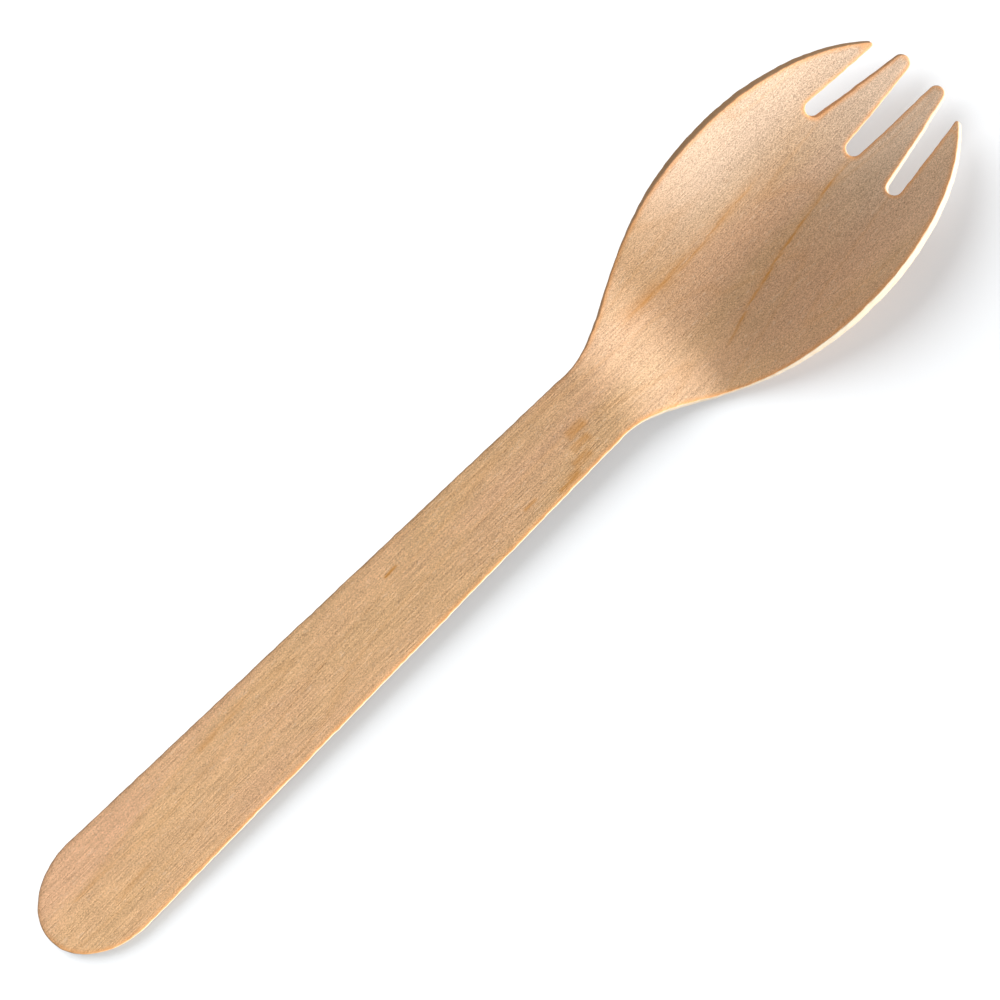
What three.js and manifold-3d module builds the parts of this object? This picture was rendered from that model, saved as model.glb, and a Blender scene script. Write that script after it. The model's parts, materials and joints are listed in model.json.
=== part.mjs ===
// A wooden spork: one ply of birch veneer, cut out flat with a steel-rule die and
// pressed hot into a bowl with four tines. It is a single piece of wood.
//
// Millimetres. The blank lies along +X, from the round end of the handle to the tines,
// and +Z is the face that food lies on. The finished spork rests as it would on a
// table, on its handle's end and its bowl, with the origin under its middle.

import * as THREE from "three";
import { mergeVertices } from "three/addons/utils/BufferGeometryUtils.js";
import Module from "manifold-3d";

// The veneer
const THICKNESS = 1.5;
const EDGE_BREAK = 0.2; // corners worn off the cut edge by tumbling

// The handle, seen from above
const HANDLE_LENGTH = 99.2; // round end to neck
const HANDLE_WIDTH = 15; // where the round end meets the straight sides
const NECK_WIDTH = 11.1;
const END_LENGTH = 10.4; // the end is half an ellipse, this far along the handle

// The bowl, seen from above
const BOWL_WIDTH = 32.1;
const SHOULDER_LENGTH = 35; // neck to widest section
const SHOULDER_NECK_PULL = 8.6; // how far the shoulder's curve runs on from the handle
const SHOULDER_BOWL_PULL = 20.6; // how far it runs level into the widest section
const FRONT_LENGTH = 27.5; // widest section to the end of the front's ellipse

// The tines and the three slots between them
const SLOT_ROOT = 11.3; // widest section to the slots' round roots
const SLOT_WIDTH = 2.1; // across the round root
const SLOT_PITCH = 7.5; // middle slot to outer slot, at the roots
const MIDDLE_SLOT_FLARE = 3.9; // degrees, each side of the slot's own centreline
const OUTER_SLOT_FLARE = 2.1;
const OUTER_SLOT_TURN = 8; // degrees that an outer slot leans in towards the axis
const TIP_SETBACK = 1.7; // end of the front's ellipse back to the inner tines' round tips
const OUTER_TIP_RADIUS = 0.35;

// The press
const BOWL_DEPTH = 3.65; // floor of the bowl under the plane of the handle
const TIP_DROP = 0.45; // middle of the tines under the plane of the handle
const SIDE_RISE = 4.8; // rim over the floor, at the widest section
const RAMP_GAP = 1.2; // neck to the top of the ramp down into the bowl
const RAMP_LENGTH = 12.9;
const SWEEP_LENGTH = 31.5; // foot of the ramp to where the tines run level
const HOLLOW_GAP = 6.9; // neck to where the sides begin to rise
const TIP_LEAN = 0.8; // sideways drift of the tips, as the press leaves them

// Fineness of the faceted surface
const OUTLINE_STEP = 1.3;
const ARC_STEPS = 10;
const HANDLE_STATIONS = 8;
const BOWL_STATIONS = 40;
const SHEET_ROWS = 23;
const SHEET_MARGIN = 1.5; // spare veneer round the blank, trimmed off by the die
const DIE_OVERRUN = 0.02; // the die's chamfers run this far past the faces
const WELD_DISTANCE = 1e-5; // vertices closer than this are one
const SLOPE_STEP = 0.01; // step over which the press's slope is taken
const HALVINGS = 50; // halvings of an angle in a search

const NECK_X = HANDLE_LENGTH;
const WIDEST_X = NECK_X + SHOULDER_LENGTH;
const ROOT_X = WIDEST_X + SLOT_ROOT;
const TIP_X = WIDEST_X + FRONT_LENGTH - TIP_SETBACK;
const RAMP_X = NECK_X + RAMP_GAP;
const FLOOR_X = RAMP_X + RAMP_LENGTH;
const LEVEL_X = FLOOR_X + SWEEP_LENGTH;
const HOLLOW_X = NECK_X + HOLLOW_GAP;
const ROOT_RADIUS = SLOT_WIDTH / 2;

const wasm = await Module();
wasm.setup();

// A direction in the plane of the blank, at an angle in degrees from the spork's axis.
function heading(degrees) {
  const angle = THREE.MathUtils.degToRad(degrees);
  return new THREE.Vector2(Math.cos(angle), Math.sin(angle));
}

// A straight slot side: it leaves the root circle along its heading, on one side of it.
function slotSide(centreY, degrees, side) {
  const along = heading(degrees);
  const across = new THREE.Vector2(-along.y, along.x).multiplyScalar(side);
  const centre = new THREE.Vector2(ROOT_X + ROOT_RADIUS, centreY);
  return { start: centre.clone().addScaledVector(across, ROOT_RADIUS), along, across, centre, degrees };
}

// Distance from a slot side into the wood beside it.
function depthIntoWood(side, point) {
  return point.clone().sub(side.start).dot(side.across);
}

// The front's ellipse and its normal, at an angle round it from the spork's axis.
function frontPoint(angle) {
  return new THREE.Vector2(
    WIDEST_X + FRONT_LENGTH * Math.cos(angle),
    (BOWL_WIDTH / 2) * Math.sin(angle),
  );
}

function frontNormal(angle) {
  return new THREE.Vector2(
    Math.cos(angle) / FRONT_LENGTH,
    Math.sin(angle) / (BOWL_WIDTH / 2),
  ).normalize();
}

// The outer tine's tip: a small circle that touches the front's ellipse and the slot
// side, found by halving the range of angles round the ellipse.
function outerTip(side) {
  const centreAt = (angle) => frontPoint(angle).addScaledVector(frontNormal(angle), -OUTER_TIP_RADIUS);
  let low = 0;
  let high = Math.PI / 2;
  for (let halving = 0; halving < HALVINGS; halving += 1) {
    const middle = (low + high) / 2;
    if (depthIntoWood(side, centreAt(middle)) < OUTER_TIP_RADIUS) low = middle;
    else high = middle;
  }
  return { angle: high, centre: centreAt(high) };
}

// The inner tine's tip: the circle that touches both of its tapering sides and whose
// far edge reaches the tine's length.
function innerTip(outerSide, innerSide) {
  const taper = THREE.MathUtils.degToRad(innerSide.degrees - outerSide.degrees) / 2;
  const axis = heading((innerSide.degrees + outerSide.degrees) / 2);
  const gap = outerSide.start.clone().sub(innerSide.start);
  const reach = gap.cross(outerSide.along) / innerSide.along.cross(outerSide.along);
  const apex = innerSide.start.clone().addScaledVector(innerSide.along, reach);
  const distance = (apex.x - TIP_X) / (axis.x - Math.sin(taper));
  const centre = apex.clone().addScaledVector(axis, -distance);
  return { centre, radius: distance * Math.sin(taper) };
}

// An arc of the outline between two headings of its radius, in degrees.
function addArc(path, centre, radius, from, to, clockwise) {
  const { degToRad } = THREE.MathUtils;
  path.absarc(centre.x, centre.y, radius, degToRad(from), degToRad(to), clockwise);
}

// Half of the blank's outline, from the middle of the handle's end, round the +Y side,
// to the root of the middle slot.
function halfOutline() {
  const tineSide = slotSide(SLOT_PITCH, -OUTER_SLOT_TURN + OUTER_SLOT_FLARE, 1);
  const outerSide = slotSide(SLOT_PITCH, -OUTER_SLOT_TURN - OUTER_SLOT_FLARE, -1);
  const innerSide = slotSide(0, MIDDLE_SLOT_FLARE, 1);
  const point = outerTip(tineSide);
  const tip = innerTip(outerSide, innerSide);
  const pointNormal = frontNormal(point.angle);
  const taperSlope = (NECK_WIDTH - HANDLE_WIDTH) / 2 / (HANDLE_LENGTH - END_LENGTH);

  const path = new THREE.Path();
  path.moveTo(0, 0);
  path.absellipse(END_LENGTH, 0, END_LENGTH, HANDLE_WIDTH / 2, Math.PI, Math.PI / 2, true);
  path.lineTo(NECK_X, NECK_WIDTH / 2);
  path.bezierCurveTo(
    NECK_X + SHOULDER_NECK_PULL,
    NECK_WIDTH / 2 + SHOULDER_NECK_PULL * taperSlope,
    WIDEST_X - SHOULDER_BOWL_PULL,
    BOWL_WIDTH / 2,
    WIDEST_X,
    BOWL_WIDTH / 2,
  );
  path.absellipse(WIDEST_X, 0, FRONT_LENGTH, BOWL_WIDTH / 2, Math.PI / 2, point.angle, true);
  const pointTurn = THREE.MathUtils.radToDeg(pointNormal.angle());
  addArc(path, point.centre, OUTER_TIP_RADIUS, pointTurn, tineSide.degrees - 90, true);
  path.lineTo(tineSide.start.x, tineSide.start.y);
  addArc(path, tineSide.centre, ROOT_RADIUS, tineSide.degrees + 90, outerSide.degrees + 270, false);
  addArc(path, tip.centre, tip.radius, outerSide.degrees + 90, innerSide.degrees - 90, true);
  path.lineTo(innerSide.start.x, innerSide.start.y);
  addArc(path, innerSide.centre, ROOT_RADIUS, innerSide.degrees + 90, 180, false);
  return path;
}

// Points along one stretch of the outline, close enough together to follow the press.
function stretchPoints(curve) {
  const steps = Math.ceil(curve.getLength() / OUTLINE_STEP);
  return curve.getSpacedPoints(curve.isEllipseCurve ? Math.max(steps, ARC_STEPS) : steps);
}

// The whole outline of the blank: the half and its mirror image.
function blankShape() {
  const half = halfOutline().curves.flatMap((curve) => stretchPoints(curve).slice(0, -1));
  half.push(new THREE.Vector2(ROOT_X, 0));
  const mirrored = half.slice(1, -1).reverse().map((point) => new THREE.Vector2(point.x, -point.y));
  return new THREE.Shape([...half, ...mirrored]);
}

// Turns a closed geometry into a solid that can be cut.
function toSolid(geometry) {
  const bare = geometry.clone();
  bare.deleteAttribute("normal");
  bare.deleteAttribute("uv");
  const welded = mergeVertices(bare, WELD_DISTANCE);
  const mesh = new wasm.Mesh({
    numProp: 3,
    vertProperties: welded.attributes.position.array,
    triVerts: new Uint32Array(welded.index.array),
  });
  return new wasm.Manifold(mesh);
}

// The flat sheet of veneer, gridded so that it can be bent: few stations along the
// handle, which stays flat, and many along the bowl.
function veneerSheet() {
  const stations = HANDLE_STATIONS + BOWL_STATIONS;
  const width = BOWL_WIDTH + 2 * SHEET_MARGIN;
  const sheet = new THREE.BoxGeometry(stations, width, THICKNESS, stations, SHEET_ROWS, 1);
  const position = sheet.attributes.position;
  const bowlLength = TIP_X + SHEET_MARGIN - RAMP_X;
  for (let index = 0; index < position.count; index += 1) {
    const station = Math.round(position.getX(index) + stations / 2);
    const onHandle = station <= HANDLE_STATIONS;
    const handleX = -SHEET_MARGIN + (RAMP_X + SHEET_MARGIN) * (station / HANDLE_STATIONS);
    const bowlX = RAMP_X + bowlLength * ((station - HANDLE_STATIONS) / BOWL_STATIONS);
    position.setX(index, onHandle ? handleX : bowlX);
  }
  return sheet;
}

// The die: the outline carried through the sheet, closing in at both faces so that the
// blank's corners come out broken.
function die() {
  const chamfer = EDGE_BREAK + DIE_OVERRUN;
  const depth = THICKNESS - 2 * EDGE_BREAK;
  const geometry = new THREE.ExtrudeGeometry(blankShape(), {
    depth,
    bevelEnabled: true,
    bevelThickness: chamfer,
    bevelSize: chamfer,
    bevelOffset: -chamfer,
    bevelSegments: 1,
  });
  return geometry.translate(0, 0, -depth / 2);
}

// Half the width of the press's section at a station: it opens from the neck to the
// widest section, and keeps that width to the tips.
function sectionHalfWidth(x) {
  const spread = THREE.MathUtils.smoothstep(x, NECK_X, WIDEST_X);
  return THREE.MathUtils.lerp(NECK_WIDTH / 2, BOWL_WIDTH / 2, Math.sqrt(spread));
}

// Height of the pressed middle layer over the plane of the handle: a floor line that
// ramps down past the neck and sweeps up to the tines, with a parabola across each
// section that lifts the sides.
function pressedHeight(x, y) {
  const { smoothstep } = THREE.MathUtils;
  const drop = -BOWL_DEPTH * smoothstep(x, RAMP_X, FLOOR_X);
  const sweep = (BOWL_DEPTH - TIP_DROP) * smoothstep(x, FLOOR_X, LEVEL_X);
  const rise = SIDE_RISE * smoothstep(x, HOLLOW_X, WIDEST_X);
  const across = y / sectionHalfWidth(x);
  return drop + sweep + rise * across * across;
}

// Presses one point of the flat blank. Cut edges stay square to the sheet, so a point
// above or below the middle layer moves along that layer's normal. Past the widest
// section the axis drifts sideways, by the square of the distance.
function pressPoint(point) {
  const height = pressedHeight(point.x, point.y);
  const slopeX = (pressedHeight(point.x + SLOPE_STEP, point.y) - height) / SLOPE_STEP;
  const slopeY = (pressedHeight(point.x, point.y + SLOPE_STEP) - height) / SLOPE_STEP;
  const normal = new THREE.Vector3(-slopeX, -slopeY, 1).normalize();
  const pressed = new THREE.Vector3(point.x, point.y, height).addScaledVector(normal, point.z);
  const past = Math.max(0, pressed.x - WIDEST_X) / (TIP_X - WIDEST_X);
  const turn = Math.atan((2 * TIP_LEAN * past) / (TIP_X - WIDEST_X));
  return pressed.set(
    pressed.x - pressed.y * Math.sin(turn),
    TIP_LEAN * past * past + pressed.y * Math.cos(turn),
    pressed.z,
  );
}

// The blank, cut from the sheet and pressed.
function sporkGeometry() {
  const blank = toSolid(veneerSheet()).intersect(toSolid(die())).getMesh();
  const positions = new Float32Array((blank.vertProperties.length / blank.numProp) * 3);
  for (let vertex = 0; vertex < positions.length / 3; vertex += 1) {
    const point = new THREE.Vector3().fromArray(blank.vertProperties, vertex * blank.numProp);
    pressPoint(point).toArray(positions, vertex * 3);
  }
  const geometry = new THREE.BufferGeometry();
  geometry.setAttribute("position", new THREE.BufferAttribute(positions, 3));
  geometry.setIndex(new THREE.BufferAttribute(new Uint32Array(blank.triVerts), 1));
  geometry.computeVertexNormals();
  return geometry;
}

// How far the spork tips up, in radians, when it lies on its handle's end and its bowl.
function restTilt(geometry) {
  const position = geometry.attributes.position;
  let tilt = 0;
  for (let index = 0; index < position.count; index += 1) {
    const along = position.getX(index) - EDGE_BREAK;
    const below = -THICKNESS / 2 - position.getZ(index);
    if (along > END_LENGTH) tilt = Math.max(tilt, Math.atan2(below, along));
  }
  return tilt;
}

const birch = new THREE.MeshStandardMaterial({ color: 0xd7ad84, roughness: 0.7, metalness: 0 });
const spork = new THREE.Mesh(sporkGeometry(), birch);
spork.name = "spork";

const resting = new THREE.Group();
resting.rotation.y = -restTilt(spork.geometry);
resting.add(spork);
resting.updateMatrixWorld(true);
const bounds = new THREE.Box3().setFromObject(resting, true);
const middle = bounds.getCenter(new THREE.Vector3());
resting.position.set(-middle.x, -middle.y, -bounds.min.z);

const part = new THREE.Group();
part.add(resting);

export default part;
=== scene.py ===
"""A wooden spork of pressed birch veneer, dressed on its CAD frame, with a plain white studio.

The blank is a flat outline with its die-cut edge carried round it. The press bends the blank into
handle, bowl and tines. The finish gives it grain, growth streaks, a burnished margin and a raw
cut edge, with painted sheen, light and shade on the face and painted shade on one side of the cut.
Lengths are in metres. On the blank, x runs from the handle's round end to the tips, y runs across
the sheet, and h is the height off the sheet's middle layer.
"""

import json
import math
from collections import namedtuple
from functools import reduce

import bpy
import numpy as np
from bpy.props import FloatProperty, FloatVectorProperty, IntProperty, PointerProperty
from bpy.types import Operator, Panel, PropertyGroup
from mathutils import Matrix, Vector
from mathutils.geometry import delaunay_2d_cdt


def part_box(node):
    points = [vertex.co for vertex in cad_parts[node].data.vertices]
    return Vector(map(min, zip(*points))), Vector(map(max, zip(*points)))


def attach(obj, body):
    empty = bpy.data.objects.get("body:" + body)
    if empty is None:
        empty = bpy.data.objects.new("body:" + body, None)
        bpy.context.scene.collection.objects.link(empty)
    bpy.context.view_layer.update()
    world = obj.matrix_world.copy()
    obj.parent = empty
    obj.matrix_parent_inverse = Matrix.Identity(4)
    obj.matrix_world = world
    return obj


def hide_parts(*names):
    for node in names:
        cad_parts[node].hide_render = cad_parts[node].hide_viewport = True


bl_info = {
    "name": "Pressed wooden spork",
    "version": (1, 0, 0),
    "blender": (4, 5, 0),
    "location": "View3D > Sidebar > Spork",
    "description": "Presses a spork from birch veneer on its CAD frame, in a white studio",
    "category": "Object",
}

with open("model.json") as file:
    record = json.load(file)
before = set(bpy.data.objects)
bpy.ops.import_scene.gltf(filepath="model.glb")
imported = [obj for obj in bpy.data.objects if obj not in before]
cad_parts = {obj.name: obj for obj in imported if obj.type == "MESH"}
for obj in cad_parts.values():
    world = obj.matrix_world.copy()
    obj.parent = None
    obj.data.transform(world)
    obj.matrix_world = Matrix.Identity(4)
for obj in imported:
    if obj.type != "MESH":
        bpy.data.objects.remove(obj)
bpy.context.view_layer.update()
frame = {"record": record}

MOUNTS = {mount["name"]: mount for mount in frame["record"]["mounts"]}
FACE_POINT = np.array(MOUNTS["handle_face"]["pos_m"])
BACK_POINT = np.array(MOUNTS["handle_back"]["pos_m"])
FACE_AXIS = MOUNTS["handle_face"]["axis"]

MM = 0.001
QUARTER = math.pi / 2


# Properties

def linear(display):
    """Display values of 0 to 255 as scene-linear light, by the sRGB curve."""
    parts = np.array(display) / 255
    low = parts / 12.92
    high = ((parts + 0.055) / 1.055) ** 2.4
    return tuple(np.where(parts <= 0.04045, low, high).tolist())


def length(millimetres, name, description):
    """A length property, with its default given in millimetres."""
    return FloatProperty(
        name=name, description=description, default=millimetres * MM,
        subtype="DISTANCE", unit="LENGTH", precision=5,
    )


def turn(degrees, name, description):
    """An angle property, with its default given in degrees."""
    return FloatProperty(
        name=name, description=description, default=math.radians(degrees),
        subtype="ANGLE", unit="ROTATION",
    )


def colour(display, name, description):
    """A colour property, with its default given as display values of 0 to 255."""
    return FloatVectorProperty(
        name=name, description=description, default=linear(display),
        subtype="COLOR", size=3, min=0, max=1,
    )


def share(value, name, description):
    """A share between 0 and 1."""
    return FloatProperty(
        name=name, description=description, default=value, subtype="FACTOR", min=0, max=1,
    )


def factor(value, name, description):
    """A number from 0 upwards."""
    return FloatProperty(name=name, description=description, default=value, min=0)


class BlankSettings(PropertyGroup):
    """The flat blank that the die cuts from the veneer."""

    thickness: length(
        np.linalg.norm(FACE_POINT - BACK_POINT) / MM, "Thickness", "Thickness of the veneer")
    handle_length: length(99.2, "Handle length", "From the round end to the neck")
    handle_width: length(15, "Handle width", "Width where the round end begins")
    neck_width: length(11.1, "Neck width", "Width where the handle meets the shoulder")
    end_length: length(10.4, "End length", "Length of the handle's elliptic end")
    bowl_width: length(32.1, "Bowl width", "Widest part of the bowl, measured flat")
    shoulder_length: length(35, "Shoulder length", "From the neck to the widest part")
    neck_pull: length(8.6, "Neck pull", "How far the shoulder keeps the handle's heading")
    bowl_pull: length(20.6, "Bowl pull", "How far the shoulder arrives along the bowl's side")
    front_length: length(27.5, "Front length", "From the widest part to the front ellipse's end")
    slot_root: length(11.3, "Slot root", "From the widest part to the bottom of the slots")
    slot_width: length(2.1, "Slot width", "Width of a slot at its round bottom")
    slot_pitch: length(7.5, "Slot pitch", "From the middle slot to an outer slot")
    middle_flare: turn(3.9, "Middle flare", "How far each side of the middle slot opens")
    outer_flare: turn(2.1, "Outer flare", "How far each side of an outer slot opens")
    outer_turn: turn(8, "Outer turn", "How far an outer slot leans to the middle")
    tip_setback: length(1.7, "Tip setback", "From the front ellipse's end back to the inner tips")
    point_radius: length(0.35, "Point radius", "Rounding of the outer tines' points")
    edge_radius: length(0.2, "Edge radius", "Rounding of the cut's corners")
    edge_waver: length(0.025, "Edge waver", "Unevenness of the cut line")
    outline_step: length(0.28, "Outline step", "Distance between points on the outline")
    sheet_step: length(0.6, "Sheet step", "Distance between points inside the outline")
    seed: IntProperty(name="Seed", description="Draw of the uneven cut", default=7, min=0)


class PressSettings(PropertyGroup):
    """The hot press that bends the blank, and the way the spork lies."""

    bowl_depth: length(3.65, "Bowl depth", "Depth of the bowl's floor below the handle")
    tip_drop: length(0.45, "Tip drop", "Depth of the middle of the tines below the handle")
    side_rise: length(4.8, "Side rise", "Height of the rim above the floor at the widest part")
    ramp_gap: length(1.2, "Ramp gap", "From the neck to the start of the ramp")
    ramp_length: length(12.9, "Ramp length", "Length of the ramp down into the bowl")
    ramp_blend: length(1.9, "Ramp blend", "How far the ramp is rounded off beyond each of its ends")
    sweep_length: length(31.5, "Sweep length", "From the foot of the ramp to the level tines")
    hollow_gap: length(6.9, "Hollow gap", "From the neck to where the sides begin to rise")
    tip_lean: length(0.8, "Tip lean", "How far the tips drift to one side")
    rest_tilt: FloatProperty(
        name="Rest tilt", description="Tilt of the handle on the table",
        default=math.atan2(-FACE_AXIS[0], FACE_AXIS[2]), subtype="ANGLE", unit="ROTATION",
    )


class FinishSettings(PropertyGroup):
    """The birch: its face, its grain, its burnished margin and its cut edge, with painted sheen,
    light and shade.
    """

    face_colour: colour((213, 171, 131), "Face", "Planed face of the veneer")
    rosy_colour: colour((217, 170, 136), "Rosy face", "Broad pinkish areas of the face")
    straw_colour: colour((210, 171, 123), "Straw face", "Broad yellowish areas of the face")
    # Painted sheen: a greyer colour laid where the lamps' sheen would catch the tines, the wall and
    # the ramp
    painted_sheen_colour: colour((214, 186, 160), "Painted sheen", "Painted sheen on tines, wall and ramp")
    pale_colour: colour((236, 207, 176), "Pale fleck", "Short pale fibres")
    pore_colour: colour((160, 114, 76), "Pore", "Short dark pores")
    streak_colour: colour((192, 132, 62), "Streak", "Amber growth streaks")
    margin_colour: colour((234, 160, 92), "Margin", "Burnished band beside the cut")
    cut_colour: colour((183, 174, 156), "Cut edge", "Raw wood of the cut edge")
    # Painted shade: a darker colour on the +y side of the cut edge, which faces away from the low
    # lamp
    cut_shaded_colour: colour((204, 162, 122), "Cut edge, painted shade", "Painted shade on the cut edge's +y side")
    margin_width: length(0.85, "Margin width", "Width of the burnished band")
    speckle_contrast: factor(1.4, "Speckle contrast", "How strongly the speckle differs in tone")
    fibre_contrast: share(0.85, "Fibre contrast", "How strongly the fibres differ in tone")
    bowl_calm: share(0.6, "Bowl calm", "Share of the fibres' contrast that the bowl lacks")
    pore_strength: share(0.2, "Pore strength", "How strongly the pores show")
    fleck_strength: share(0.3, "Fleck strength", "How strongly the pale fibres show")
    margin_strength: share(0.6, "Margin strength", "How strongly the burnished band shows")
    end_gain: factor(1.12, "End gain", "Brightness of the handle's end against its middle")
    neck_gain: factor(0.92, "Neck gain", "Brightness of the neck against the handle's middle")
    roughness: share(0.8, "Roughness", "Mean roughness of the face")


class StudioSettings(PropertyGroup):
    """The floor, the lamps and the camera."""

    sky_level: share(0.31, "Sky level", "Light from all round on a level white surface")
    key_level: share(0.31, "Key level", "Light of the low lamp on a level white surface")
    key_bearing: turn(-54, "Key bearing", "Compass turn of the low lamp from +X")
    key_height: turn(7.2, "Key height", "Height of the low lamp above the floor")
    fill_level: share(0.42, "Fill level", "Light of the high lamp on a level white surface")
    fill_bearing: turn(-54, "Fill bearing", "Compass turn of the high lamp from +X")
    fill_height: turn(64, "Fill height", "Height of the high lamp above the floor")
    soft_level: share(0.92, "Soft level", "Light on the floor that the shadow lacks")
    soft_bearing: turn(100, "Soft bearing", "Compass turn of the soft lamp from +X")
    soft_height: turn(42, "Soft height", "Height of the soft lamp above the floor")
    soft_spread: turn(52, "Soft spread", "Width of the soft lamp, seen from the spork")
    floor_colour: colour((196, 198, 200), "Floor", "Paint of the floor as the camera sees it")
    floor_size: length(6000, "Floor size", "Side of the square floor")
    floor_bounce: share(0.3, "Floor bounce", "Grey of the floor as the wood sees it")
    camera_distance: length(1200, "Camera distance", "From the camera to the spork")
    camera_lean: turn(2.3, "Camera lean", "How far the camera leans off the vertical")
    camera_roll: turn(44.48, "Camera roll", "Turn of the spork's length in the picture")
    view_width: length(129.64, "View width", "Width of the picture at the spork")
    aim: FloatVectorProperty(
        name="Aim", description="Point at the middle of the picture",
        default=(1.78 * MM, -0.15 * MM, 4 * MM), subtype="TRANSLATION", unit="LENGTH", precision=5,
    )


# The blank

# Steps of the mesh: the most an arc turns in a step, circles tried for the outer point, steps of a
# rounded corner and of the wall, strips of a corner that count as face, clearance of the inner
# points in steps of the sheet, points handled at once, and millimetres at which points merge
ARC_TURN = math.radians(9)
POINT_TRIES = 20001
EDGE_STEPS = 5
WALL_STEPS = 3
FACE_STRIPS = 2
CLEARANCE = 0.55
CHUNK = 2000
MERGE = 1e-7

# Unevenness of the cut: sines in a sum, slowest and fastest waves round the outline, swing of the
# corners' radius, the wall's share of the waver, and which draw the wall and the whole cut take
SINES = 24
CORNER_WAVES = (30, 420)
WALL_WAVES = (60, 900)
CUT_WAVES = (20, 300)
CORNER_SWING = 0.25
WALL_SHARE = 0.5
WALL_DRAW = 1
CUT_DRAW = 9

Stations = namedtuple("Stations", "neck widest root tip ramp floor level hollow")
SlotSide = namedtuple("SlotSide", "centre start along across angle")


def stations(blank, press):
    """Places along the sheet, each the sum of the lengths that lead to it."""
    neck = blank.handle_length
    widest = neck + blank.shoulder_length
    ramp = neck + press.ramp_gap
    floor = ramp + press.ramp_length
    return Stations(
        neck=neck,
        widest=widest,
        root=widest + blank.slot_root,
        tip=widest + blank.front_length - blank.tip_setback,
        ramp=ramp,
        floor=floor,
        level=floor + press.sweep_length,
        hollow=neck + press.hollow_gap,
    )


def heading(angle):
    """Unit vector at an angle from x."""
    return np.array([math.cos(angle), math.sin(angle)])


def line(start, end, step):
    """Equal steps from one point towards another, without the last point."""
    start, end = np.array(start), np.array(end)
    count = math.ceil(np.linalg.norm(end - start) / step)
    return start + (end - start) * np.arange(count)[:, None] / count


def arc(centre, radii, start, end, step):
    """Centre plus (rx cos a, ry sin a), with a in equal turns, without the last point."""
    sweep = abs(end - start)
    count = math.ceil(max(max(radii) * sweep / step, sweep / ARC_TURN))
    angle = start + (end - start) * np.arange(count) / count
    return np.array(centre) + np.stack([np.cos(angle), np.sin(angle)], 1) * np.array(radii)


def bezier(first, second, third, last, step):
    """Cubic Bezier: four points weighted by the Bernstein polynomials, without the last point."""
    count = math.ceil(np.linalg.norm(np.subtract(last, first)) / step)
    t = (np.arange(count) / count)[:, None]
    weights = [(1 - t) ** 3, 3 * t * (1 - t) ** 2, 3 * t ** 2 * (1 - t), t ** 3]
    points = [first, second, third, last]
    return sum(weight * np.array(point) for weight, point in zip(weights, points))


def slot_side(blank, at, centre_y, angle, side):
    """Straight side of a slot: it leaves the round bottom square to its radius, along angle."""
    along = heading(angle)
    across = side * np.array([-along[1], along[0]])
    centre = np.array([at.root + blank.slot_width / 2, centre_y])
    return SlotSide(centre, centre + across * blank.slot_width / 2, along, across, angle)


def outer_point(blank, at, side):
    """Circle of the point radius inside the front ellipse that touches a slot's side.

    Circles that touch the ellipse are tried all round its quarter, and the one whose distance
    from the slot's side is its radius is interpolated.
    """
    radii = np.array([blank.front_length, blank.bowl_width / 2])
    angle = np.linspace(0, QUARTER, POINT_TRIES)
    ellipse = np.stack([np.cos(angle), np.sin(angle)], 1)
    normal = ellipse / radii
    normal /= np.linalg.norm(normal, axis=1)[:, None]
    centres = ellipse * radii + [at.widest, 0] - normal * blank.point_radius
    depth = (centres - side.start) @ side.across
    found = np.interp(blank.point_radius, depth, angle)
    return (
        found,
        np.array([np.interp(found, angle, centres[:, axis]) for axis in (0, 1)]),
        math.atan2(math.sin(found) * radii[0], math.cos(found) * radii[1]),
    )


def inner_tip(at, upper, lower):
    """Circle that touches both tapering sides of an inner tine and ends at the tip's station.

    The sides meet at an apex. Along their bisector, a circle at a distance d from the apex touches
    both with radius d sin(half the taper), so d follows from where its far edge has to be.
    """
    gap = upper.start - lower.start
    spread = np.linalg.solve(np.stack([lower.along, -upper.along], 1), gap)
    apex = lower.start + lower.along * spread[0]
    half_taper = (lower.angle - upper.angle) / 2
    axis = heading((lower.angle + upper.angle) / 2)
    distance = (apex[0] - at.tip) / (axis[0] - math.sin(half_taper))
    return apex - axis * distance, distance * math.sin(half_taper)


def half_outline(blank, at):
    """One side of the outline, stretch by stretch from the handle's end to the middle slot.

    Elliptic end, straight taper, Bezier shoulder, front ellipse, outer point, outer slot, inner tip
    and half of the middle slot, each leaving along the heading that the last one had.
    """
    step = blank.outline_step
    root = (blank.slot_width / 2,) * 2
    point = (blank.point_radius,) * 2
    outer = slot_side(blank, at, blank.slot_pitch, blank.outer_flare - blank.outer_turn, 1)
    upper = slot_side(blank, at, blank.slot_pitch, -blank.outer_flare - blank.outer_turn, -1)
    lower = slot_side(blank, at, 0, blank.middle_flare, 1)
    front_angle, point_centre, point_angle = outer_point(blank, at, outer)
    tip_centre, tip_radius = inner_tip(at, upper, lower)
    end = np.array([blank.end_length, blank.handle_width / 2])
    neck = np.array([at.neck, blank.neck_width / 2])
    widest = np.array([at.widest, blank.bowl_width / 2])
    taper = (neck - end) / (neck - end)[0]
    front = (blank.front_length, blank.bowl_width / 2)
    return np.concatenate([
        arc((blank.end_length, 0), end, math.pi, QUARTER, step),
        line(end, neck, step),
        bezier(neck, neck + taper * blank.neck_pull, widest - [blank.bowl_pull, 0], widest, step),
        arc((at.widest, 0), front, QUARTER, front_angle, step),
        arc(point_centre, point, point_angle, outer.angle - QUARTER, step),
        line(point_centre - outer.across * blank.point_radius, outer.start, step),
        arc(outer.centre, root, outer.angle + QUARTER, upper.angle + 3 * QUARTER, step),
        line(upper.start, tip_centre - upper.across * tip_radius, step),
        arc(tip_centre, (tip_radius,) * 2, upper.angle + QUARTER, lower.angle - QUARTER, step),
        line(tip_centre - lower.across * tip_radius, lower.start, step),
        arc(lower.centre, root, lower.angle + QUARTER, math.pi, step),
        [[at.root, 0]],
    ])


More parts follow.
